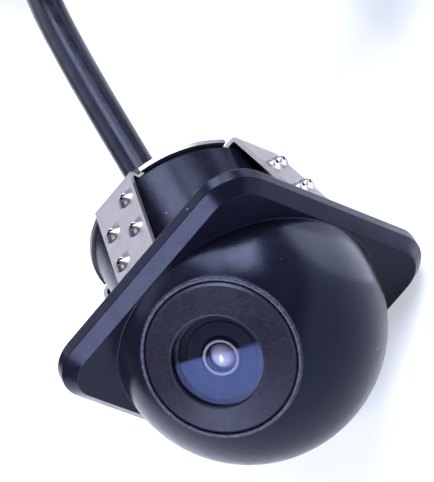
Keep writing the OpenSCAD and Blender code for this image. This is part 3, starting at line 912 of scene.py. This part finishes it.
def make_tie():
    """A strap of hook-and-loop tape round the coil's turns, its end lapped over on top."""
    thick, width, bend = 0.5, 5.0, 1.7
    low_y, high_y, low_z, high_z = 93.5, 104.25, FLOOR_Z + 0.25, -6.25
    loop = rounded([(low_y, low_z, bend), (high_y, low_z, bend), (high_y, high_z, bend),
                    (low_y, high_z, bend)], closed=True, steps=8)
    start = [Vector((low_y + 2.4, high_z))]
    path = start + loop + [Vector((low_y + 2.2, high_z)), Vector((low_y + 3.0, high_z + 0.3)),
                           Vector((low_y + 3.8, high_z + 0.55)), Vector((high_y - 2.3, high_z + 0.53))]
    section = rounded([(-width / 2, -thick / 2, 0.12), (width / 2, -thick / 2, 0.12),
                       (width / 2, thick / 2, 0.12), (-width / 2, thick / 2, 0.12)], closed=True, steps=3)
    rings = []
    for k, p in enumerate(path):
        ahead = (path[min(k + 1, len(path) - 1)] - path[max(k - 1, 0)]).normalized()
        out = Vector((ahead.y, -ahead.x))
        ring = []
        for u, d in section:
            spot = p + out * d
            ring.append(Vector((COIL_CENTRE.x + u, spot.x, spot.y)))
        rings.append(ring)
    ends = [[sum(ring, Vector()) / len(ring)] * len(ring) for ring in (rings[0], rings[-1])]
    dress(piece("coil_strap", loft([ends[0]] + rings + [ends[1]]), nodes=["coil_tie"]), "tie_fabric")


def make_plug_body():
    """The plug's moulding: a ribbed taper, a grip with three grooves, and the neck that the nut turns on."""
    tip_r, wide_r, grip_r, taper_end = 2.1, 3.9, 5.3, 12
    profile = [(0, 0), (tip_r, 0, 0.3)]
    for k in range(5):
        t = 1.8 + 2 * k
        r = tip_r + 1.8 * t / taper_end
        profile += [(r, t, 0.12), (r - 0.45, t + 0.15, 0.12), (r - 0.4, t + 0.75, 0.12),
                    (r + 0.14, t + 0.9, 0.12)]
    profile += [(wide_r, taper_end, 0.2), (grip_r, 12.7, 0.35)]
    for k in range(3):
        t = 15.2 + 2.7 * k
        profile += [(grip_r, t, 0.15), (4.95, t + 0.2, 0.15), (4.95, t + 1.1, 0.15),
                    (grip_r, t + 1.3, 0.15)]
    neck_r, collar_r, bore_r, grip_end, bore_end = 4.4, 4.9, 4.02, 26, 24
    profile += [(grip_r, 25.4, 0.2), (5.0, grip_end, 0.1), (neck_r, grip_end), (neck_r, 29),
                (collar_r, 29, 0.05), (collar_r, 30.2, 0.15), (4.3, 30.8, 0.1), (bore_r, 30.8),
                (bore_r, bore_end), (0, bore_end)]
    shape = turned(rounded(profile), on_plug, 128, False)
    dress(piece("plug_moulding", shape, nodes=["plug_body"]), "plug_plastic")


def make_plug_nut():
    """The coupling nut, with a fluted grip outside and a helical thread inside."""
    steps, flutes, pitch = 240, 30, 0.8
    outer, back, front = 6.45, 26.3, 39
    neck, chamber, mouth = 4.48, 5.05, 5.45
    thread_from, thread_to, thread_out, thread_in = 34.2, front - 0.15, 5.3, 4.95
    # How far in from either end the outside's rounded edge lies, and its radius there.
    edge = ((0, outer - 0.4), (0.12, outer - 0.22), (0.4, outer))
    rings = []

    def ring(h, radius):
        rings.append([on_plug(radius(a) * math.cos(a), radius(a) * math.sin(a), h)
                      for a in (2 * math.pi * k / steps for k in range(steps))])

    def fluted(h):
        depth = 0.32 * smooth((h - back - 1.5) / 0.5) * smooth((front - 1.5 - h) / 0.5)
        return lambda a: outer - depth * (0.5 + 0.5 * math.cos(flutes * a)) ** 1.5

    def threaded(h):
        fade = smooth((thread_to - h) / 0.4)

        def radius(a):
            turn = (h / pitch - a / (2 * math.pi)) % 1
            return thread_out - (thread_out - thread_in) * fade * smooth(1 - abs(2 * turn - 1))
        return radius

    ring(back, lambda a: neck)
    for t, r in edge:
        ring(back + t, lambda a, r=r: r)
    for k in range(1, 30):
        h = back + 0.4 + (front - back - 0.8) * k / 30
        ring(h, fluted(h))
    for t, r in edge[::-1]:
        ring(front - t, lambda a, r=r: r)
    ring(front, lambda a: mouth)
    for k in range(61):
        h = thread_to - (thread_to - thread_from) * k / 60
        ring(h, threaded(h))
    for h, r in ((thread_from, chamber), (28.9, chamber), (28.9, neck)):
        ring(h, lambda a, r=r: r)
    shape = loft(rings, closed=True)
    dress(piece("plug_coupling_nut", shape, body="plug_nut", nodes=["plug_nut"]), "nut_metal")


make_housing()
make_retainer()
make_window()
make_lens_barrel()
make_front_lens()
make_plate()
make_legs()
make_screws()
make_boot()
make_tie()
make_plug_body()
make_plug_nut()
dress(lead, "cable_jacket")
for node, shown in frame["nodes"].items():
    dress(shown, SLOT_OF[node])

# ---------------------------------------------------------------- floor and light

FLOOR_HALF = 1500
WORLD_COLOUR = (0.86, 0.9, 1.1, 1)
WORLD_STRENGTH = 0.15
LIGHT_COLOUR = (0.9, 0.93, 1.12)
WATTS = 4                 # an area light's power for each square metre and unit of radiance

# The key light: how far its top edge is from the window, and that edge's rise and tilt off the
# mirrored line of sight. A second, shorter box hangs above it.
KEY_DISTANCE = 560
KEY_LIFT = 1.0
KEY_ROLL = math.radians(-14.5)
KEY_WIDTH, KEY_HEIGHT, KEY_RADIANCE = 280, 330, 10
UPPER_WIDTH, UPPER_HEIGHT, UPPER_RADIANCE = 300, 120, 14
UPPER_GAP = 15

# The other light boxes, all at one distance: azimuth, elevation and roll in degrees, width, height, radiance.
BOX_DISTANCE = 600
SOFT_BOXES = {
    "low_left": (-50, 7, 0, 330, 150, 6),
    "high_right": (116, 34.5, -29, 400, 211, 15),
    "high_back": (144, 47, -29, 470, 211, 9),
    "back_left": (205, 30, 0, 370, 430, 1.6),
}

# The brightly lit stretch of floor on the flange's +X side: its outline in X and Y, how far it is
# above the floor, and its brightness, which rises along X.
GLOW_OUTLINE = [(13, -2), (19, -4.5), (27, -6), (41, -7), (63, -5.5), (106, 1.5), (174, 20), (500, 125),
                (380, 250), (135, 78), (62, 27.5), (38.5, 13.5), (24, 7.5), (17, 5.5)]
GLOW_LIFT = 0.05
GLOW_FROM, GLOW_OVER = 14, 55
GLOW_DIM, GLOW_BRIGHT = 1.8, 5


def stage_sheet(name, outline, z):
    """A flat sheet that isn't part of the object: outline in millimetres, at height z."""
    mesh = bpy.data.meshes.new(name)
    mesh.from_pydata([(x * MM, y * MM, z * MM) for x, y in outline], [], [tuple(range(len(outline)))])
    sheet = bpy.data.objects.new(name, mesh)
    bpy.context.scene.collection.objects.link(sheet)
    return sheet


def make_floor():
    corners = [(-FLOOR_HALF, -FLOOR_HALF), (FLOOR_HALF, -FLOOR_HALF), (FLOOR_HALF, FLOOR_HALF),
               (-FLOOR_HALF, FLOOR_HALF)]
    floor = stage_sheet("floor", corners, FLOOR_Z)
    paper = Finish("floor_paper", (0.5, 0.51, 0.54), 0.8)
    paper.put("Emission Color", (0.9, 0.94, 1, 1))
    paper.put("Emission Strength", 0.5)
    paper.blend(paper.ramp(paper.noise(40), 0.3, 0.7), (0.48, 0.49, 0.52))
    floor.data.materials.append(paper.material)


def make_table_glow():
    """The brightly lit stretch of floor: seen only in what it lights and in the dome's reflection."""
    glow = stage_sheet("table_glow", GLOW_OUTLINE, FLOOR_Z + GLOW_LIFT)
    glow.visible_camera = glow.visible_shadow = False
    lit = Finish("lit_paper", (0.8, 0.82, 0.87), 0.8)
    lit.put("Emission Color", (0.86, 0.9, 1.0, 1))
    further = lit.rise(Vector((1, 0, 0)), GLOW_FROM, GLOW_OVER)
    lit.wire(lit.ramp(further, 0, 1, GLOW_DIM, GLOW_BRIGHT), lit.shader.inputs["Emission Strength"])
    glow.data.materials.append(lit.material)


def soft_box(name, middle, way, width, height, radiance, roll=0.0, top=False):
    """An area light at a place (mm) that shines back along way.

    With top, the place is the middle of its top edge.
    """
    data = bpy.data.lights.new(name, "AREA")
    data.shape = "RECTANGLE"
    data.size, data.size_y = width * MM, height * MM
    data.energy = radiance * WATTS * width * height * MM * MM
    data.color = LIGHT_COLOUR
    light = bpy.data.objects.new(name, data)
    facing = way.to_track_quat("Z", "Y").to_matrix() @ Matrix.Rotation(roll, 3, "Z")
    if top:
        middle = middle - facing @ Vector((0, height / 2, 0))
    light.location = middle * MM
    light.rotation_mode = "QUATERNION"
    light.rotation_quaternion = facing.to_quaternion()
    light.visible_camera = False
    bpy.context.scene.collection.objects.link(light)


def make_world():
    world = bpy.data.worlds.new("studio")
    bpy.context.scene.world = world
    world.use_nodes = True
    background = world.node_tree.nodes["Background"]
    background.inputs["Color"].default_value = WORLD_COLOUR
    background.inputs["Strength"].default_value = WORLD_STRENGTH
    bpy.context.scene.view_settings.view_transform = "Standard"


def make_key(camera_place):
    """The key light, whose top edge the window mirrors across its middle, and the box above it."""
    window = on_lens(0, 0, WINDOW_TOP)
    sight = (camera_place - window).normalized()
    way = LENS_FORWARD * (2 * sight.dot(LENS_FORWARD)) - sight
    facing = way.to_track_quat("Z", "Y")
    edge = window + way * KEY_DISTANCE + facing @ Vector((0, KEY_LIFT, 0))
    soft_box("key", edge, way, KEY_WIDTH, KEY_HEIGHT, KEY_RADIANCE, roll=KEY_ROLL, top=True)
    rise = Matrix.Rotation(KEY_ROLL, 3, "Z") @ Vector((0, UPPER_GAP + UPPER_HEIGHT, 0))
    soft_box("key_upper", edge + facing @ rise, way, UPPER_WIDTH, UPPER_HEIGHT, UPPER_RADIANCE,
             roll=KEY_ROLL, top=True)


def make_soft_boxes():
    for name, (azimuth, elevation, roll, width, height, radiance) in SOFT_BOXES.items():
        way = toward(math.radians(azimuth), math.radians(elevation))
        soft_box(name, way * BOX_DISTANCE, way, width, height, radiance, roll=math.radians(roll))


make_floor()
make_table_glow()
make_world()
make_key(Vector(camera.location) / MM)
make_soft_boxes()
